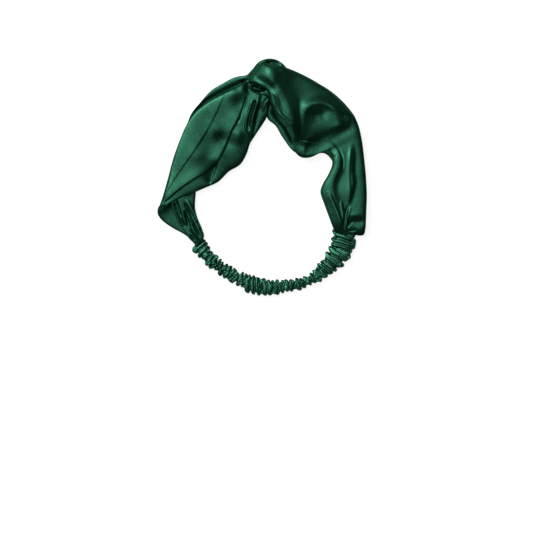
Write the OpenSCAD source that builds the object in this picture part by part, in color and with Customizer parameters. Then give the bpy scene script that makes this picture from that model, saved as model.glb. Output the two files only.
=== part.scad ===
// Knotted satin headband: two interlocked satin loops joined behind the head by an elastic
// in a gathered satin casing. It lies flat, outer face up: +X to its right, +Y towards the knot.

/* [Knot] */
// Radius of the right loop where it passes through the left loop
turn_r = 6.5; // [5:0.5:8]
// Height of the right loop's lower layer in the knot
lower_layer_h = 6; // [4:0.5:8]
// Height of the left loop's turn in the knot
left_turn_h = 10.2; // [8:0.1:14]
// Height of the right loop's upper layer, the wrap that shows on top
wrap_h = 8; // [6:0.5:10]
// Radius of the left loop's turn round the right loop
left_turn_r = 20; // [17:0.5:22]
// Free space between the two loops in the knot
knot_gap = 0.4; // [0.3:0.1:0.8]

/* [Loops] */
// Height of a loop's front leg where it lies on the table
leg_h = 15; // [12:1:20]
// Height of a loop's back leg, which lies under the front leg
back_leg_h = 7; // [5:1:10]

/* [Strap] */
// Radius of the strap's centreline, lying relaxed
strap_r = 77; // [76:0.5:78]
// Height of the gathered casing
casing_h = 8; // [7:0.5:10]
// Width of the elastic
elastic_w = 7; // [6:0.5:7.5]
// Thickness of the elastic
elastic_t = 1.2; // [0.8:0.1:1.4]
// Angle of the strap that each sewn end covers, at its centre
end_angle = 7; // [6:0.5:8]

/* [Stitching] */
// Radius of the sewing thread
thread_r = 0.25; // [0.2:0.05:0.35]
// Length of one stitch
stitch_l = 1.8; // [1.4:0.1:2.2]
// Distance from one stitch to the next
stitch_pitch = 2.6; // [2.4:0.1:3]

/* [Hidden] */
$fn = 64;

satin = [0.06, 0.33, 0.22];
satin_dark = [0.05, 0.28, 0.19];
elastic_white = [0.86, 0.86, 0.82];
thread_green = [0.09, 0.4, 0.28];

// The knot's axis: the left half of the headband swings about it as the strap stretches.
knot_x = -5;
knot_y = 98;
left_turn_centre = [3, 98];
left_turn_z = lower_layer_h + knot_gap;
wrap_z = left_turn_z + left_turn_h + knot_gap;

// The strap is an arc. Angles are counted anticlockwise from +X.
strap_centre = [8, -33.5];
strap_start = -15;  // sewn to the right loop
strap_end = -157;   // sewn to the left loop
slack = 0.3;        // free space round a piece that lies inside another
length_gap = 0.35;  // degrees between two lengths of the strap
right_end_w = 24;
left_end_w = 11;
end_h = 7;
lengths = 3;        // lengths of casing between the two sewn ends
middle_angle = (strap_start - strap_end - 2 * end_angle) / lengths;
casing_w = [19, 15, 13];  // from right to left

// Inside the sewn ends: the loop's tongue below, the elastic's end on top of it
end_wall = 1.3;        // gathered cloth round them
press_gap = 0.1;
tongue_margin = 6.5;   // how much narrower the tongue is than the sewn end
tongue_t = 1.6;
tongue_z = end_h / 2 - tongue_t - press_gap;
tongue_reach = 4.5;    // degrees into the sewn end
elastic_z = end_h / 2 + elastic_t / 2 + press_gap;
elastic_overlap = 4;   // degrees of elastic on the tongue
tack_at = 4;           // degrees from the seam to the thread through both
row_at = [1, 2.6];     // degrees from the seam to the two rows of stitches

// The last station of a leg lies on the seam that joins it to the strap
function seam_station(angle, w) = [
    for (r = [strap_r + w / 2, strap_r - w / 2])
        each [strap_centre[0] + r * cos(angle), strap_centre[1] + r * sin(angle)],
    0, end_h
];

// Stations of a leg: [outer edge x, y, inner edge x, y, underside z, height].
left_front = [
    [-13, 96, 4.5, 81, left_turn_z, left_turn_h],
    [-30, 87, 5, 59, 1, leg_h - 2],
    [-46, 79, -6, 41, 0, leg_h],
    [-62, 68, -13, 29, 0, leg_h],
    [-76, 51, -20, 14, 0, leg_h],
    [-84, 32, -33, 6, 0, leg_h],
    [-91, 10, -48, -8, 0, leg_h],
    [-96, -10, -66, -14, 0, leg_h - 1],
    [-100, -25, -84, -21, 0, leg_h - 3],
    [-104.5, -35, -99, -33, 0, back_leg_h]
];
left_back = [
    [-13, 103, -14, 91, left_turn_z, left_turn_h],
    [-26, 100, -24, 82, 2, back_leg_h],
    [-50, 86, -38, 64, 0, back_leg_h],
    [-69, 64, -52, 44, 0, back_leg_h],
    [-80, 38, -62, 24, 0, back_leg_h],
    [-90, 10, -66, 2, 0, back_leg_h],
    [-99, -20, -67, -16, 0, back_leg_h],
    [-102, -38, -66, -32, 0, back_leg_h],
    [-91, -49, -62, -44, 0, back_leg_h],
    [-78, -57, -59, -54, 0, back_leg_h],
    seam_station(strap_end, left_end_w)
];
right_front = [
    [-11.5, 108, -11.5, 92, wrap_z, wrap_h - 1],
    [2, 111, 4, 87, wrap_z, wrap_h],
    [28, 107, 20, 75, wrap_z, wrap_h],
    [47, 99, 27, 58, 5, leg_h + 3],
    [67, 87.5, 30, 40, 0, leg_h + 2],
    [82, 74, 36, 23, 0, leg_h],
    [93, 60, 50, 21, 0, leg_h],
    [99, 44, 64, 26, 0, leg_h],
    [102, 24, 69, 14, 0, leg_h],
    [104, 2, 65, 1, 0, leg_h],
    [104.5, -22, 59, -15, 0, leg_h - 2],
    [103, -42, 64, -35, 0, leg_h - 4],
    seam_station(strap_start, right_end_w + 4)
];
right_back = [
    [-8, 104, -8, 92, 0, lower_layer_h],
    [10, 106, 8, 84, 0, lower_layer_h],
    [26, 92, 6, 61, 0, lower_layer_h],
    [40, 70, 14, 51, 0, back_leg_h],
    [50, 50, 21, 39.5, 0, back_leg_h],
    [60, 40, 29, 28, 0, back_leg_h],
    [70, 36, 38, 22, 0, back_leg_h]
];

// A leg's cross-section: [share of the width from outer to inner edge, share of the height].
leg_section = [
    [0.07, 0], [0.5, 0], [0.93, 0], [1, 0.25], [1, 0.6], [0.95, 0.85],
    [0.78, 1], [0.5, 0.95], [0.22, 1], [0.05, 0.85], [0, 0.6], [0, 0.25]
];
steps = 3;  // rings from one station to the next

function eased(a, b, c, d, t) =
    0.5 * (2 * b + (c - a) * t + (2 * a - 5 * b + 4 * c - d) * t * t
        + (3 * b - a - 3 * c + d) * t * t * t);
function at(list, i) = list[max(0, min(len(list) - 1, i))];
function smooth(list) = [
    for (i = [0 : len(list) - 2], s = [0 : steps - 1])
        eased(at(list, i - 1), at(list, i), at(list, i + 1), at(list, i + 2), s / steps),
    list[len(list) - 1]
];
function ring_of(s) = [
    for (p = leg_section) [
        s[0] + p[0] * (s[2] - s[0]),
        s[1] + p[0] * (s[3] - s[1]),
        max(0, s[4]) + p[1] * s[5]
    ]
];

// A band's faces point outwards when its stations run clockwise round the head
function reversed(list) = [for (i = [len(list) - 1 : -1 : 0]) list[i]];

// The middle of a station, which closes the band's end
function middle_of(s) = [(s[0] + s[2]) / 2, (s[1] + s[3]) / 2, max(0, s[4]) + s[5] / 2];

// A closed soft band through its stations
module band(stations) {
    rings = smooth(stations);
    n = len(leg_section);
    last = len(rings) - 1;
    points = concat(
        [for (s = rings) each ring_of(s)],
        [middle_of(rings[0]), middle_of(rings[last])]
    );
    sides = [
        for (r = [0 : last - 1], k = [0 : n - 1])
            let (a = r * n + k, b = r * n + (k + 1) % n)
                each [[a, b, b + n], [a, b + n, a + n]]
    ];
    first_cap = [for (k = [0 : n - 1]) [(k + 1) % n, k, (last + 1) * n]];
    last_cap = [for (k = [0 : n - 1]) [last * n + k, last * n + (k + 1) % n, (last + 1) * n + 1]];
    polyhedron(points, concat(sides, first_cap, last_cap), convexity = 8);
}

// A flattened tube's profile: flat below and above, with round edges
module stadium(w, h) {
    translate([-(w - h) / 2, -h / 2]) square([w - h, h]);
    for (side = [-1, 1]) translate([side * (w - h) / 2, 0]) circle(d = h);
}

// A length of the strap from one angle down to another, its middle at height z
module strap_length(from, to, w, h, z) {
    translate([strap_centre[0], strap_centre[1], z])
        rotate([0, 0, to])
            rotate_extrude(angle = from - to, $fn = 180)
                translate([strap_r, 0]) stadium(w, h);
}

// What follows, at a point of the strap: local +X outwards, +Y anticlockwise along the strap
module on_strap(angle) {
    translate([strap_centre[0], strap_centre[1], 0])
        rotate([0, 0, angle])
            translate([strap_r, 0, 0]) children();
}

// The loop's pleated end, pressed flat inside the sewn end of the casing. It reaches from
// root_l inside the loop to depth inside the sewn end, which lies to one side of the seam.
module tongue(angle, side, end_w) {
    w = end_w - tongue_margin;
    depth = strap_r * tongue_reach * PI / 180;
    root_l = 3;
    on_strap(angle)
        translate([-w / 2, side < 0 ? -depth : -root_l, tongue_z])
            cube([w, depth + root_l, tongue_t]);
}

module left_loop() {
    color(satin) {
        band(reversed(left_front));
        band(reversed(left_back));
        left_turn();
        tongue(strap_end, 1, left_end_w);
    }
}

// The left loop turns back round the right loop: a U that is open to the left
module left_turn() {
    slot_w = 1.2;
    difference() {
        translate([left_turn_centre[0], left_turn_centre[1], left_turn_z])
            cylinder(r = left_turn_r, h = left_turn_h);
        translate([knot_x, knot_y, left_turn_z - 1])
            cylinder(r = turn_r + knot_gap, h = left_turn_h + 2);
        translate([knot_x - 2 * left_turn_r, knot_y - slot_w / 2, left_turn_z - 1])
            cube([2 * left_turn_r, slot_w, left_turn_h + 2]);
    }
}

module right_loop() {
    color(satin) {
        band(right_front);
        band(right_back);
        translate([knot_x, knot_y, 0]) cylinder(r = turn_r, h = wrap_z + wrap_h - 2);
        tongue(strap_start, -1, right_end_w);
    }
}

// The plain end of the casing, sewn round the loop's pleated end
module casing_end(from, to, w) {
    room_h = 2 * (tongue_t + slack);
    color(satin_dark)
        difference() {
            strap_length(from, to, w, end_h, end_h / 2);
            strap_length(from + 1, to - 1, w - 2 * end_wall, room_h, end_h / 2);
        }
}

// A gathered length of casing; the elastic runs through it
module casing_length(k) {
    from = length_start(k) - length_gap;
    to = length_start(k + 1) + (k == lengths - 1 ? length_gap : 0);
    room_h = elastic_t + 2 * slack;
    color(satin)
        difference() {
            strap_length(from, to, casing_w[k], casing_h, casing_h / 2);
            strap_length(from + 1, to - 1, elastic_w + 2 * slack + room_h, room_h, elastic_z);
        }
}
function length_start(k) = strap_start - end_angle - k * middle_angle;

// A length of the elastic, from one angle down to another
module elastic(from, to) {
    color(elastic_white)
        translate([strap_centre[0], strap_centre[1], elastic_z - elastic_t / 2])
            rotate([0, 0, to])
                rotate_extrude(angle = from - to, $fn = 180)
                    translate([strap_r - elastic_w / 2, 0]) square([elastic_w, elastic_t]);
}
module elastic_length(k) {
    last = k == lengths - 1;
    elastic(length_start(k) - length_gap, length_start(k + 1) + (last ? length_gap : 0));
}
// One row of stitches across the strap, half sunk in the cloth
module stitch_row(angle, w) {
    count = floor((w - 2 * stitch_pitch) / stitch_pitch);
    on_strap(angle)
        for (i = [0 : count - 1])
            translate([(i - (count - 1) / 2) * stitch_pitch - stitch_l / 2, 0, end_h])
                rotate([0, 90, 0]) cylinder(r = thread_r, h = stitch_l, $fn = 16);
}

// The two rows that sew a loop into the casing's end
module joint_stitches(first, second, w) {
    color(thread_green)
        for (angle = [first, second]) stitch_row(angle, w);
}

// Thread through the elastic's end and the loop's tongue
module elastic_tack(angle) {
    count = 4;
    pitch = 1.5;
    color(thread_green)
        on_strap(angle)
            for (i = [0 : count - 1])
                translate([(i - (count - 1) / 2) * pitch, 0, tongue_z])
                    cylinder(r = thread_r, h = 2 * tongue_t, $fn = 16);
}

left_loop();
right_loop();
casing_end(strap_start, strap_start - end_angle, right_end_w);  // casing_right_end
casing_length(0);  // casing_right
casing_length(1);  // casing_middle
casing_length(2);  // casing_left
casing_end(strap_end + end_angle, strap_end, left_end_w);  // casing_left_end
elastic(strap_start - end_angle + elastic_overlap, strap_start - end_angle);  // elastic_right_end
elastic_length(0);  // elastic_right
elastic_length(1);  // elastic_middle
elastic_length(2);  // elastic_left
elastic(strap_end + end_angle, strap_end + end_angle - elastic_overlap);  // elastic_left_end
joint_stitches(strap_start - row_at[0], strap_start - row_at[1], right_end_w);  // right_joint_stitches
joint_stitches(strap_end + row_at[0], strap_end + row_at[1], left_end_w);  // left_joint_stitches
elastic_tack(strap_start - tack_at);  // right_elastic_tack
elastic_tack(strap_end + tack_at);  // left_elastic_tack
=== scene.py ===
import math

import bpy
import numpy as np
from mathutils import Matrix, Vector, noise


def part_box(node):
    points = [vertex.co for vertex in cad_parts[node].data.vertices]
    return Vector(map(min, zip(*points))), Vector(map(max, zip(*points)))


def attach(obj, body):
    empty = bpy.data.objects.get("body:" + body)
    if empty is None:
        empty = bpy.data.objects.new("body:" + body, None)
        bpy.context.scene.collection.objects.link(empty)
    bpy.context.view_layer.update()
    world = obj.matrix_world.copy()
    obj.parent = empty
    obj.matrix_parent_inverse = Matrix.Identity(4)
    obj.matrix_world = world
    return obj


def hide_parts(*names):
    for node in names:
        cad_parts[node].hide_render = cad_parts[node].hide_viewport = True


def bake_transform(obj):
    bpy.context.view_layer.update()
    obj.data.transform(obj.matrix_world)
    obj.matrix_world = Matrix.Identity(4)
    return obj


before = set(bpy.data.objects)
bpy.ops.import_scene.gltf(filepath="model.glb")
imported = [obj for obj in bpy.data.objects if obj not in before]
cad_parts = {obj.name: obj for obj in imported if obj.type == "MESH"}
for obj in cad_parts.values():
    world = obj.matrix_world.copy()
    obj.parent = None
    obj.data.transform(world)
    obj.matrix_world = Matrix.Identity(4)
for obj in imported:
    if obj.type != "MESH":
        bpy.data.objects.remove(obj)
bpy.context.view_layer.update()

# Lengths below are millimetres in the frame's axes, unless a comment says otherwise.
MM = 0.001

# ---------------------------------------------------------------- driving places
STRAP_CENTRE = np.array([8.0, -33.5])                   # of the arc that the strap lies along
STRAP_R = 77.0
RIGHT_SEAM, LEFT_SEAM = -15.0, -157.0                   # degrees round the strap's centre
CASING_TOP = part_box("casing_middle")[1].z / MM
VIEW_CENTRE = (4.5, -89.0)                              # the point under the camera
VIEW_HEIGHT = 2200.0
VIEW_WIDTH = 533.0                                      # what the picture spans on the floor


# ---------------------------------------------------------------- curves and folds
STEPS = 24                              # points worked out between two rows of a curve
FOLD_SPACING = 1.5                      # between the points of a fold's line
HOLLOW_FACES = np.array([0.6, -0.8])    # the way that a hollow tilts the cloth
HOLLOW_SIDE = np.array([0.8, 0.6])      # at right angles to that
HOLLOW_LENGTH = 1.4                     # of a hollow, in widths
SWELL_PEAK = 2.33                       # makes a swell's highest point its height
LIP_STEEPNESS = 2.2
LIP_FALL = 9                            # widths over which a lip falls off


def smooth_rows(rows, spacing, columns=slice(None), density=None):
    """Rows of a smooth curve through rows, spaced evenly along its chosen columns, or more closely where
    density, a function of the row number, is over 1."""
    p = np.array(rows, float)
    ends = np.vstack([2 * p[0] - p[1], p, 2 * p[-1] - p[-2]])
    t = np.linspace(0, 1, STEPS, endpoint=False)[:, None]
    fine = []
    for a, b, c, d in zip(ends, ends[1:], ends[2:], ends[3:]):
        fine.append(0.5 * (2 * b + (c - a) * t + (2 * a - 5 * b + 4 * c - d) * t**2
                           + (3 * b - a - 3 * c + d) * t**3))
    fine = np.vstack(fine + [p[-1:]])
    steps = np.linalg.norm(np.diff(fine[:, columns], axis=0), axis=1)
    if density is not None:
        steps = steps * density((np.arange(len(steps)) + 0.5) / STEPS)
    along = np.r_[0, np.cumsum(steps)]
    count = max(2, int(round(along[-1] / spacing)) + 1)
    at = np.linspace(0, along[-1], count)
    return np.stack([np.interp(at, along, fine[:, k]) for k in range(fine.shape[1])], 1)


def ease(x):
    """Goes smoothly from 0 to 1 as x does."""
    x = np.clip(x, 0, 1)
    return x * x * (3 - 2 * x)


def near_curve(xy, points):
    """For each point of xy: the signed distance to a curve (left positive) and the share along it."""
    line = smooth_rows(points, FOLD_SPACING)
    a, b = line[:-1], line[1:]
    best = np.full(len(xy), np.inf)
    side = np.zeros(len(xy))
    share = np.zeros(len(xy))
    for k in range(len(a)):
        d = b[k] - a[k]
        r = xy - a[k]
        t = np.clip(r @ d / max(d @ d, 1e-9), 0, 1)
        off = r - t[:, None] * d
        dist = np.hypot(off[:, 0], off[:, 1])
        closer = dist < best
        best[closer] = dist[closer]
        side[closer] = np.sign(d[0] * r[closer, 1] - d[1] * r[closer, 0])
        share[closer] = (k + t[closer]) / len(a)
    return best * side, share


def fold_heights(xy, folds):
    """The height that folds add at xy. A fold is (kind, height, width, fade, points), and fade is the share
    of its length over which each end fades out. A ridge is rounded both ways, and its width may be a pair,
    left and right of its line. A swell dips on the left of its line and rises on the right. A lip rises on
    the left of its line and falls off slowly beyond it. A hollow tilts a round patch of cloth at each of
    its points, so that it faces HOLLOW_FACES. A height under 0 turns a fold over."""
    total = np.zeros(len(xy))
    for kind, height, width, fade, points in folds:
        if kind == "hollow":
            for centre in points:
                along = (xy - centre) @ HOLLOW_FACES
                across = (xy - centre) @ HOLLOW_SIDE
                patch = np.exp(-(along / (HOLLOW_LENGTH * width)) ** 2 - (across / width) ** 2)
                total -= height * along / width * patch
            continue
        d, t = near_curve(xy, points)
        envelope = ease(np.minimum(t, 1 - t) / fade)
        if kind == "swell":
            shape = -SWELL_PEAK * d / width * np.exp(-(d / width) ** 2)
        elif kind == "ridge":
            shape = np.exp(-(d / (np.where(d > 0, *width) if isinstance(width, tuple) else width)) ** 2)
        else:
            fall = np.exp(-(np.maximum(d, 0) / (LIP_FALL * width)) ** 2)
            shape = 0.5 * (1 + np.tanh(LIP_STEEPNESS * d / width)) * fall
        total += height * envelope * shape
    return total


def ripples(points, scale, height, seed):
    """Soft noise over points, in mm."""
    offset = Vector((seed * 17.3, seed * 5.1, seed * 9.7))
    return np.array([height * noise.noise(Vector(p) / scale + offset) for p in points])


# ---------------------------------------------------------------- meshes
def make_mesh(name, vertices, faces, uvs=None):
    """A smooth-shaded object in the scene, from vertices in mm."""
    mesh = bpy.data.meshes.new(name)
    mesh.from_pydata([tuple(v) for v in np.asarray(vertices) * MM], [], faces)
    if uvs is not None:
        layer = mesh.uv_layers.new(name="Cloth")
        index = np.zeros(len(mesh.loops), int)
        mesh.loops.foreach_get("vertex_index", index)
        layer.data.foreach_set("uv", np.asarray(uvs)[index].astype(np.float32).ravel())
    mesh.shade_smooth()
    obj = bpy.data.objects.new(name, mesh)
    bpy.context.scene.collection.objects.link(obj)
    return obj


def tube_faces(rings, around):
    """Quads of a tube with rings of around points, closed by fans to the two vertices after them."""
    faces = []
    for r in range(rings - 1):
        for k in range(around):
            a, b = r * around + k, r * around + (k + 1) % around
            faces.append((a, b, b + around, a + around))
    last = (rings - 1) * around
    first_cap = rings * around
    for k in range(around):
        faces.append(((k + 1) % around, k, first_cap))
        faces.append((last + k, last + (k + 1) % around, first_cap + 1))
    return faces


def closed_tube(name, points, rings, around, uvs=None):
    """A tube's mesh from its points, ring after ring, with each end closed at its middle."""
    ends = [points[:around].mean(0), points[-around:].mean(0)]
    if uvs is not None:
        uvs = np.vstack([uvs, uvs[:1], uvs[-1:]])
    return make_mesh(name, np.vstack([points, ends]), tube_faces(rings, around), uvs)


def squared(x, power):
    """x with its sign kept, raised to power: under 1 it turns a circle's sine into a squarer form."""
    return np.sign(x) * np.abs(x) ** power


# ---------------------------------------------------------------- the two satin loops
LOOP_SPACING = 0.62         # between rings where a loop is folded
LOOP_ACROSS = (116, 44)     # points across its front and its back
FOLDED_DENSITY = 2.2        # how much closer the rings are there than elsewhere
DENSITY_FADE = 1.5          # stations over which they thin out
EDGE_POWER = 6.0            # how flat a loop stays before it rounds off at its edges
EDGE_REACH = 1.6            # how soon folds reach their full height from an edge
FADE_IN, FADE_OUT = 0.8, 1.3            # stations over which a group of folds comes in and goes out
BROAD_WAVES = (24.0, 0.5)   # size and height of the cloth's broad unevenness
FINE_WAVES = (8.0, 0.07)


def cloth_tube(name, stations, fold_groups, seed):
    """A flattened tube of satin through its stations: [left x, y, z, right x, y, z, front, back].
    Left and right are its edges as one travels along it, front and back how far it bulges.
    fold_groups are (side, first station, last station, folds): side 1 is the front of the tube."""
    stations = np.array(stations, float)
    marked = np.column_stack([stations, np.arange(len(stations))])

    def density(row):
        folded = np.zeros(len(row))
        for _, first, last, _ in fold_groups:
            reach = ease((row - first + 1) / DENSITY_FADE) * ease((last + 1 - row) / DENSITY_FADE)
            folded = np.maximum(folded, reach)
        return 1 + (FOLDED_DENSITY - 1) * folded

    s = smooth_rows(marked, LOOP_SPACING * FOLDED_DENSITY, slice(0, 6), density)
    left, right, station = s[:, 0:3], s[:, 3:6], s[:, 8]
    middle = (left + right) / 2
    normal = np.cross(right - left, np.gradient(middle, axis=0))
    normal /= np.linalg.norm(normal, axis=1)[:, None]
    rows = []
    places = []                                      # side, share of the width, share of the bulge
    for side, bulges, count in ((1, s[:, 6], LOOP_ACROSS[0]), (-1, s[:, 7], LOOP_ACROSS[1])):
        theta = np.linspace(0, math.pi, count)
        shares = 0.5 * theta / math.pi + 0.5 * (0.5 - 0.5 * np.cos(theta))
        if side < 0:
            shares = shares[-2:0:-1]
        for v in shares:
            bulge = math.sqrt(max(0.0, 1 - abs(2 * v - 1) ** EDGE_POWER))
            rows.append(left + v * (right - left) + side * normal * (bulge * bulges)[:, None])
            places.append((side, v, bulge))
    points = np.stack(rows, 1)                       # ring, place round it, xyz
    rings, around = points.shape[:2]
    side_of, share_of, bulge_of = np.array(places).T
    for side, first, last, folds in fold_groups:
        columns = np.where(side_of == side)[0]
        chosen = np.where((station >= first) & (station <= last))[0]
        block = points[np.ix_(chosen, columns)]
        fade = ease((station[chosen] - first) / FADE_IN) * ease((last - station[chosen]) / FADE_OUT)
        lift = fold_heights(block[..., :2].reshape(-1, 2), folds).reshape(block.shape[:2])
        block[..., 2] += lift * fade[:, None] * np.minimum(1, EDGE_REACH * bulge_of[columns])[None, :]
        points[np.ix_(chosen, columns)] = block
    flat = points.reshape(-1, 3)
    waves = ripples(flat, *BROAD_WAVES, seed) + ripples(flat, *FINE_WAVES, seed + 1)
    flat[:, 2] += waves * np.tile(bulge_of, rings)
    distance = np.r_[0, np.cumsum(np.linalg.norm(np.diff(middle, axis=0), axis=1))]
    width = np.linalg.norm(right - left, axis=1)
    girth = np.where(side_of > 0, share_of, 2 - share_of)
    uvs = np.stack([np.repeat(distance, around), (width[:, None] * girth[None, :]).ravel()], 1) * MM
    return closed_tube(name, flat, rings, around, uvs)


# Left loop: from the left seam out along the flap, round the tip, up the front leg, round the
# knot, down the back leg and out along the gathered end to the left seam again.
LEFT_STATIONS = [
    [-66.2, -69.6, 2.6, -59.0, -66.2, 2.6, 0.9, 0.9],
    [-67.2, -65.6, 2.4, -60.0, -62.4, 2.4, 1.2, 1.2],
    [-77.6, -57.0, 2.0, -67.0, -50.5, 2.2, 1.4, 1.4],
    [-88.6, -50.9, 2.0, -75.5, -38.0, 2.4, 1.5, 1.4],
    [-98.2, -44.4, 2.4, -84.0, -26.0, 3.0, 1.8, 1.6],
    [-103.0, -39.0, 3.4, -89.0, -24.0, 4.6, 2.0, 1.8],
    [-104.2, -34.4, 5.4, -92.6, -24.4, 6.6, 2.2, 2.0],
    [-102.0, -28.0, 8.0, -92.5, -26.4, 9.0, 2.8, 2.2],
    [-99.2, -20.0, 8.8, -84.0, -22.4, 8.4, 2.8, 2.2],
    [-95.6, -8.0, 9.6, -72.0, -17.4, 7.4, 3.0, 2.2],
    [-92.3, 4.0, 10.4, -58.0, -11.2, 6.4, 3.0, 2.2],
    [-88.2, 19.0, 11.2, -44.0, -4.8, 5.8, 3.0, 2.2],
    [-82.4, 35.0, 12.0, -33.0, 5.6, 5.4, 3.0, 2.2],
    [-75.8, 50.5, 12.6, -21.8, 12.6, 5.4, 3.0, 2.4],
    [-68.0, 62.5, 13.0, -15.4, 23.0, 5.6, 3.0, 2.4],
    [-57.0, 72.0, 13.4, -11.8, 33.5, 5.8, 3.0, 2.6],
    [-45.0, 79.6, 13.6, -6.6, 41.8, 6.4, 3.0, 2.8],
    [-32.0, 86.6, 13.2, 0.6, 52.6, 7.4, 3.0, 3.0],
    [-21.0, 92.4, 12.0, 4.4, 59.0, 8.4, 3.2, 3.0],
    [-13.2, 97.4, 9.8, 6.6, 68.0, 9.2, 4.0, 3.0],
    [-7.0, 95.0, 9.4, 8.4, 75.5, 9.8, 3.6, 3.0],
    [-2.0, 86.0, 10.6, 12.5, 79.5, 10.6, 4.0, 3.4],
    [5.5, 88.0, 11.2, 20.5, 85.0, 11.2, 4.2, 4.0],
    [9.5, 94.5, 11.2, 26.0, 95.0, 11.2, 4.2, 4.0],
    [10.0, 100.5, 11.2, 25.4, 107.0, 11.2, 4.2, 4.0],
    [7.5, 104.5, 11.2, 17.4, 115.2, 11.2, 4.4, 4.0],
    [2.6, 106.2, 11.0, 8.0, 117.9, 11.0, 4.6, 4.0],
    [-2.6, 105.0, 10.4, -2.0, 115.2, 10.4, 4.2, 3.8],
    [-7.6, 100.6, 8.8, -8.6, 108.2, 8.8, 3.4, 3.0],
    [-14.0, 92.6, 6.6, -15.0, 102.2, 6.4, 2.6, 2.4],
    [-25.0, 83.4, 3.6, -27.0, 99.8, 6.0, 1.4, 2.2],
    [-37.0, 72.5, 2.6, -40.0, 93.2, 6.2, 1.2, 2.0],
    [-46.0, 60.5, 2.4, -51.4, 86.0, 6.2, 1.2, 2.0],
    [-52.0, 48.0, 2.4, -61.6, 74.6, 5.6, 1.2, 2.0],
    [-56.0, 35.5, 2.4, -70.4, 63.6, 4.6, 1.2, 2.0],
    [-60.0, 21.5, 2.6, -75.8, 50.2, 3.2, 1.2, 2.0],
    [-63.0, 8.0, 3.0, -82.4, 30.0, 3.2, 1.4, 2.0],
    [-65.0, -4.0, 3.4, -88.0, 7.0, 3.2, 1.8, 2.0],
    [-66.0, -16.0, 5.0, -91.0, -14.0, 4.0, 2.2, 2.4],
    [-66.6, -30.0, 7.8, -90.4, -28.4, 4.6, 2.6, 3.4],
    [-64.0, -41.0, 8.8, -86.4, -38.6, 4.8, 2.6, 3.6],
    [-60.0, -50.6, 8.8, -80.0, -50.2, 5.0, 2.4, 3.6],
    [-57.8, -57.4, 8.0, -73.4, -60.4, 5.2, 2.2, 3.4],
    [-58.0, -61.8, 7.4, -67.8, -66.0, 5.8, 1.8, 2.4],
    [-56.8, -65.6, 5.8, -66.0, -69.6, 5.0, 1.2, 1.2],
]
# The first and last station of the front leg, the turn round the knot, the back leg and the gathered end.
LEFT_FRONT = (7, 22)
LEFT_TURN = (22, 29)
LEFT_BACK = (28, 37)
LEFT_GATHER = (36, 44)

LEFT_FRONT_FOLDS = [
    # the long overlapping edge from the tip to the knot
    ("lip", 1.9, 0.9, 0.1, [(-99, -27.6), (-92.9, -21.5), (-82.7, -12.6), (-69.9, -3.7), (-56, 5.3),
                            (-44.4, 15.5), (-38, 27), (-33, 38.4), (-29.5, 47), (-25, 54), (-21, 60),
                            (-18.6, 65)]),
    # the pressed line along the panel's middle
    ("lip", 0.4, 0.6, 0.1, [(-98, -21.5), (-87.8, -3.7), (-77.6, 11.6), (-67.4, 25.7), (-55.9, 43.5),
                            (-45.7, 62.7), (-38.7, 78), (-33, 88)]),
    # the pocket beside the long edge
    ("ridge", -2.6, (6.4, 0.9), 0.35, [(-53.6, -9), (-51, -3), (-47.6, 6), (-44.6, 13), (-42.6, 18)]),
    # soft hollows over the panel
    ("hollow", 3.0, 7.4, 0, [(-41.2, 41.6)]),
    ("hollow", 2.5, 7.0, 0, [(-25, 78)]),
    ("hollow", 2.0, 5.0, 0, [(-15.5, 85)]),
    ("hollow", 2.4, 5.4, 0, [(-20.6, 38.4)]),
    ("hollow", 2.7, 10.0, 0, [(-59, 14)]),
    # the dark opening beneath the wrap, and the hollow that leads to it
    ("ridge", -2.2, 3.4, 0.3, [(-12.5, 97), (-13.6, 90), (-16.4, 83)]),
    ("ridge", -3.0, 3.0, 0.3, [(-13, 91.4), (-7.4, 88.4), (-1.4, 87), (5, 84)]),
    # the finger-shaped loop at the knot: its outer line, its rim and its dark slit
    ("ridge", -1.3, 1.1, 0.15, [(-26, 52.6), (-22, 58.6), (-19.4, 66), (-16.4, 75), (-14.6, 81)]),
    ("lip", 1.7, 2.4, 0.15, [(-14, 28), (-12.4, 38), (-10.4, 48), (-8, 58), (-5.2, 68), (-1.8, 79),
                             (0.4, 85)]),
    ("ridge", 1.4, 1.05, 0.1, [(-9, 77.4), (-12.6, 67), (-15.4, 57), (-16.4, 50), (-15.6, 46.4),
                               (-13.6, 44.8), (-11.4, 46.6), (-10.4, 51), (-8.6, 61), (-5.8, 70),
                               (-2.8, 79)]),
    ("ridge", -2.3, 0.95, 0.12, [(-6.4, 77), (-10.2, 67), (-12.6, 57.5), (-13.8, 48.6)]),
    ("ridge", -0.9, 1.8, 0.25, [(0, 77), (-2.4, 67), (-4.8, 58), (-7.4, 48), (-10.4, 38)]),
    # the pleat beside it
    ("swell", 0.7, 1.3, 0.25, [(-1.4, 64), (1.4, 71), (6, 77.6), (9, 81)]),
]
LEFT_BACK_FOLDS = [
    # where the back leg dips beneath the panel's outer edge
    ("ridge", -4.4, 2.1, 0.12, [(-13, 97.6), (-20.6, 93.8), (-32, 88), (-45.4, 81), (-57.8, 73.4),
                                (-68.8, 63.6), (-76.8, 51)]),
]
LEFT_TURN_FOLDS = [
    # over the top of the knot: a groove between two soft rounds
    ("ridge", -2.6, 2.2, 0.3, [(3.5, 112), (11, 113.6), (19, 111)]),
    ("ridge", 1.4, 1.8, 0.3, [(-6, 108), (-1, 113.4), (7, 116)]),
]
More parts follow.
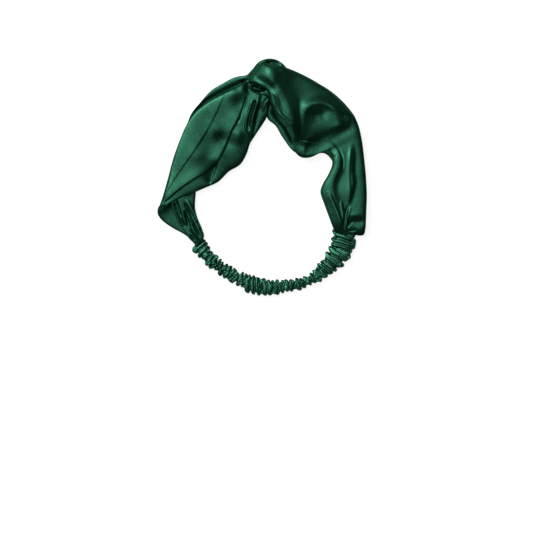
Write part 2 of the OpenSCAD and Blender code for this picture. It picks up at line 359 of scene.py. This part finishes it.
LEFT_GATHER_FOLDS = [
    # it comes out from the shade of the flap's edge
    ("ridge", 2.2, 5.4, 0.3, [(-102, -26), (-92, -22.6), (-83, -20), (-75, -17.6), (-70, -15)]),
    # soft swells that run down to the seam
    ("ridge", 1.5, (2.6, 1.5), 0.1, [(-90.6, -22), (-90, -29), (-85, -40), (-79.4, -50), (-73, -59.4),
                                     (-67.6, -67)]),
    ("ridge", 0.9, 1.9, 0.25, [(-83.4, -22), (-80, -32), (-77.4, -41), (-74.6, -50)]),
    ("ridge", 1.1, 1.8, 0.2, [(-75.6, -20), (-70.9, -30.6), (-67, -37), (-63, -45), (-60.4, -54)]),
    ("ridge", 1.1, 1.9, 0.25, [(-74, -42), (-70.4, -50), (-65.6, -57.4), (-61, -63)]),
    # sharp dark creases between them
    ("ridge", -1.3, 0.9, 0.2, [(-88.4, -24), (-85, -34), (-80.7, -43.6), (-76.2, -50.6)]),
    ("ridge", -1.2, 0.9, 0.25, [(-85, -22), (-82.6, -31), (-79.6, -41)]),
    ("ridge", -2.6, 1.6, 0.4, [(-76.8, -31), (-75, -40), (-72.8, -46.4), (-70.6, -53)]),
    ("ridge", -1.5, 0.9, 0.15, [(-78, -24), (-73.3, -36.3), (-70, -43.6), (-65.2, -53.4), (-61.4, -61)]),
    ("ridge", -1.4, 1.2, 0.3, [(-65, -42), (-62.4, -48.4), (-59.2, -56.4)]),
    ("ridge", -0.9, 0.8, 0.3, [(-72.4, -56.6), (-67, -64)]),
]

# Right loop: from the right seam up the back leg, through the left loop, over the knot and down
# the front leg to the right seam.
RIGHT_STATIONS = [
    [91.6, -59.8, 2.6, 71.2, -54.4, 2.6, 1.0, 1.0],
    [93.0, -56.2, 2.6, 71.6, -50.6, 2.6, 1.4, 1.4],
    [98.0, -30.0, 2.6, 66.0, -26.0, 2.6, 1.8, 2.0],
    [98.6, 0.0, 2.6, 70.0, 1.0, 2.6, 1.8, 2.0],
    [93.0, 28.0, 2.6, 71.0, 14.0, 2.6, 1.8, 2.0],
    [84.0, 48.0, 2.6, 62.0, 24.0, 2.6, 1.8, 2.0],
    [72.0, 60.0, 2.6, 45.0, 21.6, 2.6, 1.8, 2.0],
    [60.0, 66.0, 2.6, 31.5, 26.0, 2.6, 1.8, 2.0],
    [48.0, 72.0, 2.6, 20.6, 39.8, 2.6, 1.8, 2.2],
    [36.0, 80.0, 2.6, 13.6, 51.4, 2.8, 1.8, 2.4],
    [25.0, 86.0, 2.8, 6.0, 58.0, 3.0, 1.8, 2.4],
    [13.0, 91.0, 2.8, 0.6, 70.0, 3.0, 1.8, 2.2],
    [4.0, 94.6, 3.0, -3.2, 80.4, 3.0, 1.8, 2.2],
    [-3.0, 97.4, 3.6, -6.4, 85.6, 3.6, 2.0, 2.2],
    [-7.2, 101.4, 7.0, -10.4, 90.2, 7.0, 2.4, 2.2],
    [-5.6, 107.8, 13.0, -11.6, 92.4, 12.4, 3.0, 2.2],
    [0.4, 112.2, 17.8, -9.4, 92.8, 17.0, 3.4, 2.4],
    [8.5, 112.0, 20.4, -2.4, 90.4, 19.6, 3.4, 2.8],
    [17.0, 110.4, 20.0, 4.2, 86.0, 20.0, 3.6, 3.0],
    [26.0, 107.8, 15.2, 7.0, 80.5, 20.2, 3.6, 3.0],
    [36.5, 103.8, 10.8, 8.0, 74.0, 20.6, 3.6, 7.6],
    [47.0, 98.8, 8.2, 10.6, 66.9, 20.4, 3.6, 7.6],
    [57.5, 92.8, 6.8, 16.5, 58.8, 19.6, 3.6, 7.6],
    [67.0, 87.0, 6.8, 24.0, 51.6, 17.4, 3.6, 7.6],
    [75.0, 80.8, 6.6, 28.6, 43.0, 15.0, 3.6, 7.0],
    [82.0, 74.0, 6.8, 30.4, 34.0, 12.4, 3.6, 7.0],
    [88.0, 67.0, 7.2, 33.0, 25.2, 10.2, 3.6, 6.0],
    [92.4, 60.4, 8.8, 37.6, 20.4, 9.6, 3.6, 3.0],
    [95.4, 53.6, 8.8, 43.4, 19.0, 9.4, 3.6, 3.0],
    [97.6, 46.4, 9.8, 50.5, 20.4, 9.2, 3.6, 3.0],
    [99.4, 37.4, 9.8, 58.0, 24.8, 9.0, 3.4, 3.0],
    [100.8, 28.0, 9.8, 64.0, 26.8, 8.8, 3.4, 3.0],
    [102.0, 17.0, 10.4, 68.8, 21.2, 8.8, 3.4, 3.0],
    [103.2, 5.0, 10.8, 69.8, 12.6, 8.8, 3.4, 3.0],
    [104.0, -7.0, 11.0, 65.8, 2.4, 8.6, 3.4, 3.0],
    [104.4, -19.0, 11.8, 60.6, -6.6, 8.4, 3.4, 2.8],
    [104.0, -31.0, 12.0, 58.2, -15.2, 8.0, 3.4, 2.6],
    [103.6, -42.0, 11.6, 62.0, -27.0, 8.0, 3.4, 2.2],
    [103.0, -52.0, 10.4, 66.4, -39.0, 7.8, 3.4, 1.8],
    [100.8, -57.8, 8.0, 69.6, -47.6, 7.0, 2.8, 1.4],
    [93.4, -57.4, 6.2, 71.2, -51.8, 6.2, 1.8, 1.2],
    [91.6, -60.6, 5.0, 72.0, -55.4, 5.0, 1.2, 1.0],
]
# The first and last station of its back leg and of the front, which begins and ends between two stations.
RIGHT_BACK = (1, 13)
RIGHT_FRONT = (15.4, 41.6)

RIGHT_FRONT_FOLDS = [
    # the wrap over the knot: a bright swell that turns down the inner side, dark on both sides of it
    ("ridge", 3.6, (10.0, 9.0), 0.2, [(31, 34), (30.4, 46), (28.6, 60), (25, 73), (19.6, 85), (12.6, 96),
                                      (4, 103.6), (-6, 108)]),
    ("ridge", -1.8, 3.6, 0.3, [(-10, 99), (-4, 96.4), (3, 92.6), (10, 87), (14, 81)]),
    ("ridge", -1.1, 2.2, 0.3, [(0, 112), (9, 111), (18, 107.6), (25, 103)]),
    # the valley between the inner side and the hook
    ("ridge", -1.2, 3.4, 0.35, [(35.6, 84), (37.0, 72), (37.4, 60), (37.2, 48), (36.4, 36), (34, 24)]),
    # the small leaf beside the knot
    ("swell", 0.8, 1.4, 0.3, [(20, 60), (16.4, 70), (14, 77), (9.4, 83)]),
    # the hook-shaped crest above its bowl
    ("ridge", 3.0, (5.6, 4.0), 0.5, [(41.6, 42), (41, 54), (41.5, 62.4), (44.4, 68.8), (50.2, 72.6),
                                     (58.8, 73.8), (67.7, 70.6), (75.3, 66), (82, 62.6), (91, 59),
                                     (100, 54)]),
    # the bowl under the hook
    ("hollow", 1.8, 4.6, 0, [(50.6, 63.4), (58, 65)]),
    # the darkest valley
    ("lip", 4.8, 9.0, 0.25, [(44, 26), (50, 34), (58, 40.4), (67, 45), (76, 48.2), (83, 49.4), (89, 49)]),
    # small creases at the inner bend
    ("ridge", -0.55, 0.9, 0.4, [(34, 36), (41, 36.2), (49, 35.2), (55, 33)]),
    ("ridge", 0.9, 3.0, 0.4, [(48, 44), (44, 34), (41.4, 27), (39, 17)]),
    # pleats that run down to the seam
    ("lip", 3.1, 7.0, 0.16, [(92, -74), (86, -60), (82, -48), (79.6, -37), (76.6, -27), (73.4, -17),
                             (72.6, -8), (75, 0), (78, 7), (79.4, 14), (78.4, 23), (72, 31)]),
    ("ridge", -0.8, 1.0, 0.3, [(66, 37), (73, 31.4), (78.6, 23.6), (80.6, 13.6), (79.4, 5)]),
    ("ridge", 0.6, 1.5, 0.2, [(88.8, 34), (87, 18), (86.2, 2), (86.8, -14), (85.6, -29)]),
    ("lip", 2.3, 3.6, 0.3, [(85.4, -33), (87.8, -25), (90.6, -14), (92, -4), (90.8, 8), (91.4, 24),
                            (90, 38)]),
    ("swell", 0.9, 1.8, 0.25, [(82.4, -62), (82.2, -50), (84.2, -38), (88, -27)]),
    # the lobe at the inner edge above the seam
    ("ridge", 1.3, (3.4, 1.2), 0.25, [(82, -56), (77.4, -41), (73.2, -31), (69.4, -22.4), (66, -15.8),
                                      (61.6, -14.6)]),
    ("ridge", 1.0, 1.4, 0.25, [(78, -22), (79.4, -30), (81, -38), (81.4, -48)]),
    # the dip above the corner, and two creases that run into it
    ("hollow", 1.7, 4.0, 0, [(91, -40.6), (96, -42)]),
    ("ridge", -1.0, 1.1, 0.3, [(82.6, -52), (86.8, -47.6), (90, -43)]),
    ("ridge", -0.8, 1.0, 0.3, [(83.5, -53), (89, -53.6), (95, -52)]),
]
RIGHT_BACK_FOLDS = [
    # the long groove up the inner side
    ("ridge", -2.2, 3.0, 0.2, [(9, 70), (16, 60), (22.7, 52.4), (26.6, 46), (30.4, 38), (34, 30)]),
]


# ---------------------------------------------------------------- the gathered casing
CASING_WIDTHS = [  # degrees round the strap, width over the ruffles
    (-15, 21.0), (-18, 22.0), (-22, 22.8), (-30, 20.8), (-38, 19.0), (-46, 15.2), (-54, 11.6), (-60, 9.2),
    (-67, 9.6), (-76, 11.4), (-85, 13.4), (-93, 14.8), (-102, 15.6), (-110, 13.0), (-120, 10.8), (-132, 10.6),
    (-142, 11.2), (-149, 12.6), (-154, 13.4), (-157, 13.4),
]
# Degrees round the strap, mm between ruffles, how far one stands out, its lean from edge to edge, and how
# many times longer the cloth is than the strap.
RUFFLES = [
    (-15, 6.6, 1.9, 0.08, 1.5), (-30, 7.0, 2.1, 0.16, 1.6), (-45, 6.6, 2.0, 0.22, 1.6),
    (-60, 5.8, 1.6, 0.18, 1.55), (-85, 5.6, 1.8, 0.12, 1.55), (-100, 5.6, 2.0, 0.14, 1.6),
    (-112, 7.4, 2.6, 0.25, 1.85), (-135, 8.2, 2.8, 0.27, 1.9), (-150, 6.6, 2.2, 0.20, 1.65),
    (-157, 5.4, 1.6, 0.10, 1.5),
]
STRAP_SWAY = [  # degrees round the strap, how far outside its arc its middle lies
    (-15, 0.0), (-22, 2.4), (-30, 3.6), (-38, 3.6), (-47, 2.6), (-58, 2.8), (-70, 1.0), (-80, -1.0),
    (-90, -0.4), (-100, -0.8), (-108, -2.2), (-116, -3.0), (-125, -2.8), (-135, -1.4), (-145, 0.4),
    (-152, 1.2), (-157, 0.0),
]
CASING_SPACING = 0.62       # between rings, before they are made twice as close
CASING_AROUND = 52          # points round a ring, before the same
CASING_Z = 4.1              # height of the casing's middle
CASING_TALL = 4.2           # half its height over the ruffles
CASING_ROUNDING = 2.4       # power of the rounded oblongs that it is kept between
RUFFLE_REACH = 2.6          # how far a ruffle may pass the casing's half width
RUFFLE_DEPTH = 4.0          # how far inside that half width it may dip
TAPE_ROOM = (3.8, 1.1)      # half the width and height that stay clear for the tape
START_SQUARE = 0.8          # power of the tube's section before it is gathered
START_INSET = 1.4           # how far inside the casing's half width that tube lies
START_TALL = 2.6            # half that tube's height
END_PLAIN = 3               # length at each end over which the ruffles come in
CREST = 0.7                 # under 1, the crests are broad and the creases between them sharp
RUFFLE_WANDER = 0.75        # how far a ruffle's line strays, in ruffles
RUFFLE_UNEVEN = 0.9         # how much their height varies
RUFFLE_SPREAD = 1.35        # how much further they stand out at the edges than on top
WIDTH_UNEVEN = 2.2          # how much the casing's width varies
SPARE_GIRTH = 1.10          # the cloth's way round, over that of the tube that it starts as
ROUNDS, QUICK_ROUNDS = 30, 20           # of relaxation
THREAD_HOLD = 0.9           # how firmly the cloth keeps its length, along and around
SLANT_HOLD = 0.25           # the same across its squares
STIFFNESS = 0.45            # how firmly it resists a sharp bend
SMOOTHING = 0.05            # of each ring, in a round
CLOSEST_RINGS = 0.12        # the least distance between two rings along the strap
WEAVE_GIRTH = 50            # what the weave's pattern spans round the casing


def on_strap(angle, radius):
    """The xy at degrees angle and a distance from the strap's centre."""
    a = math.radians(angle)
    return STRAP_CENTRE + radius * np.array([math.cos(a), math.sin(a)])


def along_strap(table, angle, column=1):
    """A column of a table whose rows begin with degrees round the strap, at the given degrees."""
    rows = np.array(table)[::-1]
    return np.interp(angle, rows[:, 0], rows[:, column])


def pull(p, i, j, rest, strength):
    """Moves the points p[i] and p[j] towards being rest apart, each by half."""
    d = p[j] - p[i]
    length = np.sqrt((d ** 2).sum(-1, keepdims=True)) + 1e-9
    step = 0.5 * strength * (length - rest) / length * d
    p[i] += step
    p[j] -= step


def crowd(p, long_rest, round_rest, wide, rounds):
    """Relaxes a straight gathered tube: p[ring, place, xyz], cloth that hardly stretches, kept between an
    inner and an outer flattened tube, and never folded back over itself."""
    rings = len(p)
    inner_y = np.maximum(wide / 2 - RUFFLE_DEPTH, TAPE_ROOM[0])
    limits = ((wide / 2 + RUFFLE_REACH, CASING_TALL, True), (inner_y, TAPE_ROOM[1], False))
    power = CASING_ROUNDING
    slant = np.sqrt(long_rest ** 2 + round_rest ** 2)
    first, last = p[:2].copy(), p[-2:].copy()
    pairs = [(np.arange(k, rings - 1, 2), np.arange(k, rings - 1, 2) + 1) for k in (0, 1)]
    # rings two apart, in two sets so that none is moved twice at once
    rows = np.arange(rings - 2)
    spans = [(rows[rows % 4 < 2], rows[rows % 4 < 2] + 2), (rows[rows % 4 > 1], rows[rows % 4 > 1] + 2)]
    for _ in range(rounds):
        for i, j in pairs:
            pull(p, i, j, long_rest[i], THREAD_HOLD)
        for shift in (0, 1):
            q = np.roll(p, -shift, 1)
            pull(q, np.s_[:, 0::2], np.s_[:, 1::2], round_rest, THREAD_HOLD)
            p = np.roll(q, shift, 1)
        for i, j in pairs:
            for turn in (1, -1):
                upper = np.roll(p[j], turn, 1)
                both = np.stack([p[i], upper])
                pull(both, 0, 1, slant[i], SLANT_HOLD)
                p[i] = both[0]
                p[j] = np.roll(both[1], -turn, 1)
        for i, j in spans:
            pull(p, i, j, 2 * long_rest[i], STIFFNESS)
        smooth = (np.roll(p, 1, 1) + np.roll(p, -1, 1)) / 2
        p += SMOOTHING * (smooth - p)
        # no ring passes the next one
        for i, j in pairs:
            lack = np.maximum(0, CLOSEST_RINGS - (p[j, :, 0] - p[i, :, 0])) / 2
            p[i, :, 0] -= lack
            p[j, :, 0] += lack
        y, z = p[..., 1], p[..., 2]
        for half_y, half_z, outer in limits:
            size = (np.abs(y / half_y) ** power + np.abs(z / half_z) ** power) ** (1 / power) + 1e-9
            factor = np.where((size > 1) == outer, 1 / size, 1.0)
            y *= factor
            z *= factor
        p[:2], p[-2:] = first, last
    return p


def finer(p, axis, closed):
    """p with a point added between each two along axis, on a smooth curve through them."""
    p = np.moveaxis(p, axis, 0)
    if closed:
        around = np.concatenate([p[-1:], p, p[:2]])
    else:
        around = np.concatenate([2 * p[:1] - p[1:2], p, 2 * p[-1:] - p[-2:-1]])
    between = (9 * (around[1:-2] + around[2:-1]) - around[:-3] - around[3:]) / 16
    whole = p if closed else p[:-1]
    out = np.stack([whole, between], 1).reshape(-1, *p.shape[1:])
    if not closed:
        out = np.concatenate([out, p[-1:]])
    return np.moveaxis(out, 0, axis)


def uneven(places, row):
    """Soft noise from -1 to 1 at each of places along one row of a fixed pattern."""
    return np.array([[noise.noise(Vector((x, *row)))] for x in places])


def casing():
    """The satin tube round the elastic. Its cloth is 1.5 to 1.9 times as long as the strap, and crowd()
    lets it buckle into ruffles."""
    length = math.radians(RIGHT_SEAM - LEFT_SEAM) * STRAP_R
    rings = int(length / CASING_SPACING)
    place = np.linspace(0, length, rings)
    at = RIGHT_SEAM - np.degrees(place / STRAP_R)
    wide = along_strap(CASING_WIDTHS, at)[:, None]
    wide += WIDTH_UNEVEN * uneven(place / 9.0, (7.7, 3.1))
    # a plain flattened tube, laid out straight along x
    turn = np.linspace(0, 2 * math.pi, CASING_AROUND, endpoint=False)[None, :]
    c, s = np.cos(turn), np.sin(turn)
    p = np.zeros((rings, CASING_AROUND, 3))
    p[..., 0] = place[:, None]
    p[..., 1] = squared(c, START_SQUARE) * (wide / 2 - START_INSET)
    p[..., 2] = squared(s, START_SQUARE) * START_TALL
    # ruffles of uneven pitch and height: broad crests with sharp creases between them
    wander = np.array([[noise.noise(Vector((x * 0.12, 0.7 * math.cos(t), 0.7 * math.sin(t))))
                        for t in turn[0]] for x in place])
    height = uneven(place * 0.16, (31.0, 5.0))
    pitch, stands, lean, crowding = [along_strap(RUFFLES, at, column)[:, None] for column in (1, 2, 3, 4)]
    phase = np.cumsum(length / rings / pitch, 0) + RUFFLE_WANDER * wander + lean * c
    start = stands * (1 + RUFFLE_UNEVEN * height) * (2 * np.abs(np.sin(math.pi * phase)) ** CREST - 1)
    from_end = np.minimum(place, length - place)[:, None]
    start *= ease(from_end / END_PLAIN)
    p[..., 1] += RUFFLE_SPREAD * start * c
    p[..., 2] += start * s
    girth = np.linalg.norm(np.roll(p, -1, 1) - p, axis=2, keepdims=True).mean(1, keepdims=True)
    rounds = ROUNDS
    p = crowd(p, CASING_SPACING * crowding[:, None], girth * SPARE_GIRTH, wide, rounds)
    # twice as fine, then bent round the strap
    p = finer(finer(p, 0, False), 1, True)
    angle = np.radians(RIGHT_SEAM) - p[..., 0] / STRAP_R
    reach = STRAP_R + p[..., 1] + along_strap(STRAP_SWAY, np.degrees(angle))
    rings, around = p.shape[:2]
    flat = np.stack([STRAP_CENTRE[0] + reach * np.cos(angle), STRAP_CENTRE[1] + reach * np.sin(angle),
                     np.maximum(0.2, CASING_Z + p[..., 2])], -1).reshape(-1, 3)
    u = np.repeat(np.linspace(0, length * crowding.mean(), rings), around) * MM
    v = np.tile(np.arange(around) / around, rings) * WEAVE_GIRTH * MM
    return closed_tube("gathered_casing", flat, rings, around, np.column_stack([u, v]))


# ---------------------------------------------------------------- elastic and stitches
TAPE_HALF_WIDTH = 3.5
TAPE_INSET = 3.0            # degrees from each seam to the tape's end
TAPE_RINGS, TAPE_AROUND = 420, 44
RIB_HEIGHT, RIB_PITCH = 0.06, 0.8       # of the ribs along the tape
WEFT_HEIGHT = 0.04                      # of the finer ribs across it
STITCH_PITCH = 2.2
STITCH_SHARE = 0.86         # of the pitch that one stitch spans
STITCH_RISE, STITCH_SINK = 0.42, 0.2    # how high its middle stands, and how deep its ends lie
STITCH_RINGS, STITCH_AROUND = 9, 8
THREAD_RADIUS = 0.3
THREAD_TWIST = 1.5          # radians along one stitch
RAY_START = 0.1             # metres up, above everything


def elastic_tape():
    """Woven tape inside the casing, with ribs along its length and rounded edges."""
    low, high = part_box("elastic_middle")
    half_t = (high.z - low.z) / 2 / MM
    z_mid = (high.z + low.z) / 2 / MM
    points = []
    for angle in np.linspace(RIGHT_SEAM - TAPE_INSET, LEFT_SEAM + TAPE_INSET, TAPE_RINGS):
        centre = on_strap(angle, STRAP_R + along_strap(STRAP_SWAY, angle))
        out = (on_strap(angle, STRAP_R) - STRAP_CENTRE) / STRAP_R
        weft = WEFT_HEIGHT * math.sin(math.radians(angle) * STRAP_R * 5)
        for k in range(TAPE_AROUND):
            a = 2 * math.pi * k / TAPE_AROUND
            w = squared(math.cos(a), 0.55) * TAPE_HALF_WIDTH
            rib = RIB_HEIGHT * math.cos(w * 2 * math.pi / RIB_PITCH)
            h = squared(math.sin(a), 0.35) * (half_t - 0.1 + rib + weft)
            points.append((*(centre + out * w), z_mid + h))
    return closed_tube("elastic_tape", np.array(points), TAPE_RINGS, TAPE_AROUND)


def stitch_rows(name, angles, width, top_at):
    """Rows of lock stitches across the strap: each a short fat thread that dips at both ends."""
    vertices, faces = [], []
    count = int(width / STITCH_PITCH)
    for angle in angles:
        centre = on_strap(angle, STRAP_R)
        out = (centre - STRAP_CENTRE) / STRAP_R
        tangent = np.array([-out[1], out[0]])
        for i in range(count):
            x0 = (i - (count - 1) / 2) * STITCH_PITCH
            base = len(vertices)
            for t in np.linspace(0, 1, STITCH_RINGS):
                arch = math.sin(math.pi * t)
                x = x0 + (t - 0.5) * STITCH_PITCH * STITCH_SHARE
                z = top_at(angle, x) + STITCH_RISE * arch - STITCH_SINK
                radius = THREAD_RADIUS * (0.35 + 0.65 * max(0.0, arch) ** 0.5)
                for k in range(STITCH_AROUND):
                    a = 2 * math.pi * k / STITCH_AROUND + THREAD_TWIST * t
                    p = centre + out * x + tangent * radius * math.cos(a)
                    vertices.append((p[0], p[1], z + radius * math.sin(a)))
            rings = vertices[base:]
            vertices.append(np.mean(rings[:STITCH_AROUND], 0))
            vertices.append(np.mean(rings[-STITCH_AROUND:], 0))
            faces += [tuple(base + q for q in face) for face in tube_faces(STITCH_RINGS, STITCH_AROUND)]
    return make_mesh(name, np.array(vertices), faces)


def surface_top(obj):
    """A function (degrees round the strap, offset across it) -> height of obj's top there, in mm."""
    shown = obj.evaluated_get(bpy.context.evaluated_depsgraph_get())

    def top(angle, x):
        p = on_strap(angle, STRAP_R + x) * MM
        hit, where, _, _ = shown.ray_cast(Vector((*p, RAY_START)), Vector((0, 0, -1)))
        return where.z / MM if hit else CASING_TOP
    return top


# ---------------------------------------------------------------- materials
def set_inputs(tree, node, inputs):
    """Sets inputs of a node: what comes from another node is linked, and any other value is set."""
    for key, value in inputs.items():
        if isinstance(value, bpy.types.NodeSocket):
            tree.links.new(value, node.inputs[key])
        else:
            node.inputs[key].default_value = value


def node_of(tree, kind, inputs, **settings):
    """A new node with its inputs and settings."""
    node = tree.nodes.new(kind)
    for key, value in settings.items():
        setattr(node, key, value)
    set_inputs(tree, node, inputs)
    return node


def noise_of(tree, inputs):
    """The value of a new noise texture."""
    return node_of(tree, "ShaderNodeTexNoise", inputs).outputs["Fac"]


def new_material(name):
    """A material, its node tree, its shader and its texture coordinates."""
    mat = bpy.data.materials.new(name)
    mat.use_nodes = True
    tree = mat.node_tree
    return mat, tree, tree.nodes["Principled BSDF"], node_of(tree, "ShaderNodeTexCoord", {}).outputs


def two_colours(tree, factor, first, last, start=0.0):
    """A ramp from one colour to another, which sets out at start."""
    ramp = node_of(tree, "ShaderNodeValToRGB", {"Fac": factor})
    ends = ramp.color_ramp.elements
    ends[0].position = start
    ends[0].color = (*first, 1)
    ends[1].color = (*last, 1)
    return ramp.outputs["Color"]


def bump(tree, height, strength, distance, **under):
    """The normal of a bump, distance in metres. under may hold the Normal that it lies on."""
    inputs = {"Height": height, "Strength": strength, "Distance": distance, **under}
    return node_of(tree, "ShaderNodeBump", inputs).outputs["Normal"]


def satin_material(name, base, deep, roughness, weave_strength, wrinkle_strength):
    """Satin: long glossy floats over a deep ground, so its gloss keeps the cloth's own colour."""
    mat, tree, shader, coords = new_material(name)
    place = coords["Object"]
    # colour: slow variation in the dye and finer variation in the yarn
    dye = noise_of(tree, {"Vector": place, "Scale": 38.0, "Detail": 5.0, "Roughness": 0.6})
    yarn = noise_of(tree, {"Vector": place, "Scale": 900.0, "Detail": 3.0})
    both = node_of(tree, "ShaderNodeMath", {0: yarn, 1: 0.9, 2: dye}, operation="MULTIPLY_ADD")
    # roughness: the floats catch the light unevenly
    gloss = node_of(tree, "ShaderNodeMapRange",
                    {"Value": yarn, "To Min": roughness - 0.05, "To Max": roughness + 0.07})
    # weave: floats run along the tube, staggered from row to row
    floats = node_of(tree, "ShaderNodeMapping", {"Vector": coords["UV"], "Scale": (900.0, 5200.0, 1.0)})
    weave = noise_of(tree, {"Vector": floats.outputs["Vector"], "Scale": 1.0, "Detail": 2.0})
    woven = bump(tree, weave, weave_strength, 0.00006)
    # faint creases that no fold carries
    crease = noise_of(tree, {"Vector": place, "Scale": 260.0, "Detail": 4.0, "Distortion": 0.6})
    set_inputs(tree, shader, {
        "Base Color": two_colours(tree, both.outputs[0], deep, base, start=0.78),
        "Roughness": gloss.outputs["Result"],
        "Normal": bump(tree, crease, wrinkle_strength, 0.0006, Normal=woven),
        "Metallic": 0.92,
        "Specular IOR Level": 0.3,
        "Specular Tint": (0.12, 0.34, 0.24, 1),
        "Anisotropic": 0.3,
        "Sheen Weight": 0.01,
        "Sheen Roughness": 0.4,
        "Sheen Tint": (0.25, 0.7, 0.5, 1),
    })
    return mat


def thread_material(name, colour):
    """Twisted thread, with painted shade that darkens the grooves of its twist."""
    mat, tree, shader, coords = new_material(name)
    inputs = {"Vector": coords["Object"], "Scale": 1400.0, "Distortion": 1.5}
    wave = node_of(tree, "ShaderNodeTexWave", inputs, wave_type="BANDS", bands_direction="DIAGONAL")
    twist = wave.outputs["Fac"]
    set_inputs(tree, shader, {
        # painted shade: where the twist's bands sink into grooves, the colour darkens to 0.55 of itself
        "Base Color": two_colours(tree, twist, [c * 0.55 for c in colour], colour),
        "Normal": bump(tree, twist, 0.5, 0.00008),
        "Roughness": 0.5,
        "Sheen Weight": 0.2,
    })
    return mat


def elastic_material(name):
    """White elastic, greyer towards the edges of its small cells."""
    mat, tree, shader, coords = new_material(name)
    cells = node_of(tree, "ShaderNodeTexVoronoi", {"Vector": coords["Object"], "Scale": 1500.0})
    depth = cells.outputs["Distance"]
    set_inputs(tree, shader, {
        "Base Color": two_colours(tree, depth, (0.80, 0.80, 0.76), (0.55, 0.55, 0.52)),
        "Normal": bump(tree, depth, 0.6, 0.0001),
        "Roughness": 0.7,
        "Sheen Weight": 0.3,
    })
    return mat


def floor_material():
    """A pale floor that glows a little, so that the soft light leaves it almost white."""
    mat, tree, shader, _ = new_material("pale_floor")
    set_inputs(tree, shader, {
        "Base Color": (0.25, 0.25, 0.25, 1),
        "Roughness": 0.9,
        "Specular IOR Level": 0.1,
        "Emission Color": (1, 1, 1, 1),
        "Emission Strength": 0.86,
    })
    return mat


# ---------------------------------------------------------------- camera, floor and light
def make_camera():
    data = bpy.data.cameras.new("camera")
    data.sensor_width = 36.0
    data.lens = data.sensor_width * VIEW_HEIGHT / VIEW_WIDTH
    camera = bpy.data.objects.new("camera", data)
    camera.location = (VIEW_CENTRE[0] * MM, VIEW_CENTRE[1] * MM, VIEW_HEIGHT * MM)
    bpy.context.scene.collection.objects.link(camera)
    bpy.context.scene.camera = camera


def make_floor():
    half, z = 3000.0, -0.2
    corners = [(-half, -half, z), (half, -half, z), (half, half, z), (-half, half, z)]
    floor = make_mesh("floor", np.array(corners), [(0, 1, 2, 3)])
    floor.data.materials.append(floor_material())


def softbox(name, place, size, power):
    """A white area light that faces the origin. Its place and size are in metres."""
    data = bpy.data.lights.new(name, "AREA")
    data.shape = "RECTANGLE"
    data.size, data.size_y = size
    data.energy = power
    light = bpy.data.objects.new(name, data)
    light.location = place
    light.rotation_euler = (-Vector(place)).to_track_quat("-Z", "Y").to_euler()
    bpy.context.scene.collection.objects.link(light)


def make_light():
    world = bpy.data.worlds.new("studio")
    world.use_nodes = True
    background = world.node_tree.nodes["Background"]
    background.inputs["Color"].default_value = (1, 1, 1, 1)
    background.inputs["Strength"].default_value = 0.008
    scene = bpy.context.scene
    scene.world = world
    scene.view_settings.view_transform = "Standard"
    softbox("overhead_softbox", (-0.55, 0.5, 2.3), (2.4, 2.1), 42)
    softbox("key_softbox", (-1.25, 1.5, 1.8), (1.4, 1.2), 62)


# ---------------------------------------------------------------- build
make_camera()
make_floor()
make_light()

satin = satin_material("green_satin", base=(0.0165, 0.083, 0.048), deep=(0.009, 0.047, 0.027),
                       roughness=0.40, weave_strength=0.35, wrinkle_strength=0.18)
# The casing is the same green satin as the loops. Its base and deep colours are painted nearly twice as
# bright, as painted light that makes up for the softbox light its steep ruffles miss.
casing_satin_painted_brighter = satin_material("green_casing_satin", base=(0.034, 0.150, 0.090), deep=(0.016, 0.074, 0.044),
                              roughness=0.42, weave_strength=0.35, wrinkle_strength=0.2)
thread = thread_material("green_thread", (0.05, 0.22, 0.14))
elastic_weave = elastic_material("white_elastic")

left = cloth_tube("left_satin_loop", LEFT_STATIONS, [
    (1, *LEFT_FRONT, LEFT_FRONT_FOLDS),
    (1, *LEFT_TURN, LEFT_TURN_FOLDS),
    (1, *LEFT_GATHER, LEFT_GATHER_FOLDS),
    (1, *LEFT_BACK, LEFT_BACK_FOLDS),
], seed=3)
right = cloth_tube("right_satin_loop", RIGHT_STATIONS, [
    (1, *RIGHT_FRONT, RIGHT_FRONT_FOLDS),
    (-1, *RIGHT_BACK, RIGHT_BACK_FOLDS),
], seed=8)
for loop in (left, right):
    loop.data.materials.append(satin)

strap = casing()
strap.data.materials.append(casing_satin_painted_brighter)
tape = elastic_tape()
tape.data.materials.append(elastic_weave)

strap_top = surface_top(strap)
right_stitches = stitch_rows("right_seam_stitches", (RIGHT_SEAM - 1.0, RIGHT_SEAM - 2.6), 20, strap_top)
left_stitches = stitch_rows("left_seam_stitches", (LEFT_SEAM + 1.0, LEFT_SEAM + 2.6), 8.8, strap_top)
for row in (right_stitches, left_stitches):
    row.data.materials.append(thread)
for node in ("right_elastic_tack", "left_elastic_tack"):
    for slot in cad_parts[node].material_slots:
        slot.material = thread

# ---------------------------------------------------------------- bodies
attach(right, "right_half")
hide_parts("right_loop")
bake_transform(left)
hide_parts("left_loop")
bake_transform(strap)
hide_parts("casing_right_end", "casing_right", "casing_middle", "casing_left", "casing_left_end")
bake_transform(tape)
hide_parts("elastic_right_end", "elastic_right", "elastic_middle", "elastic_left", "elastic_left_end")
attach(right_stitches, "right_half")
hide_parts("right_joint_stitches")
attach(left_stitches, "left_half")
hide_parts("left_joint_stitches")
